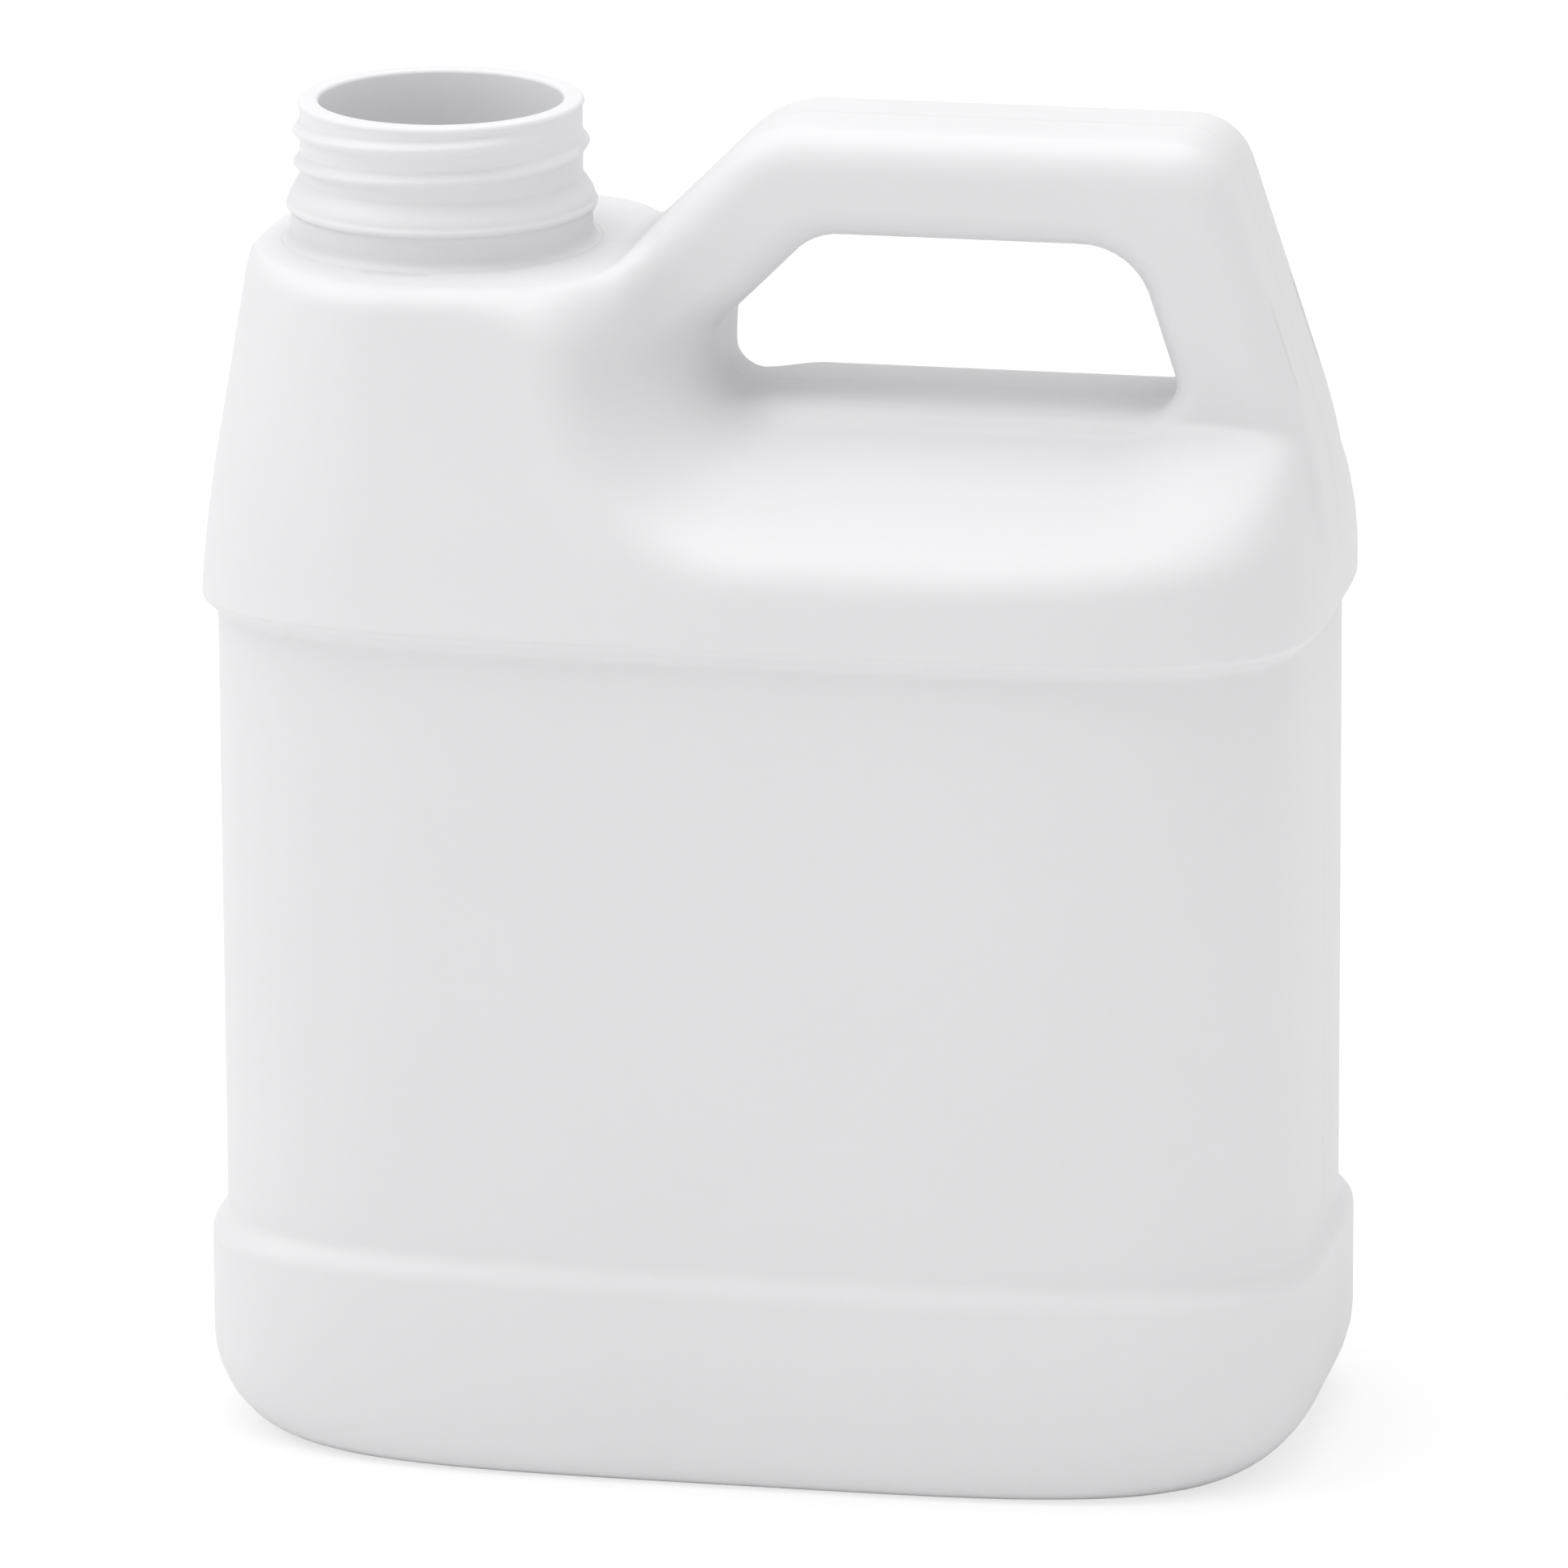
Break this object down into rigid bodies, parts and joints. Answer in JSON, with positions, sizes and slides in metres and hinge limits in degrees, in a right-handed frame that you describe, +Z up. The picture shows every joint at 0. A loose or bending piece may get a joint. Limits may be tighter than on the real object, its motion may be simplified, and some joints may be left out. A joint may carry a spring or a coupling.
{
  "type": "plastic jug",
  "caption": "Rectangular blow-moulded jug with a recessed label panel, an offset threaded neck without its cap and a hollow handle over a finger gap.",
  "frame": {"origin": "middle of the footprint, on the standing surface", "axes": "+X along the jug from the neck towards the handle, -Y out of the front, +Z up along the neck"},
  "size_m": [0.144, 0.0768, 0.1705],
  "materials": {
    "moulding": "natural white polyethylene, satin, with the fine texture of the mould"
  },
  "bodies": {
    "root": {"jug": "moulding"}
  },
  "joints": []
}
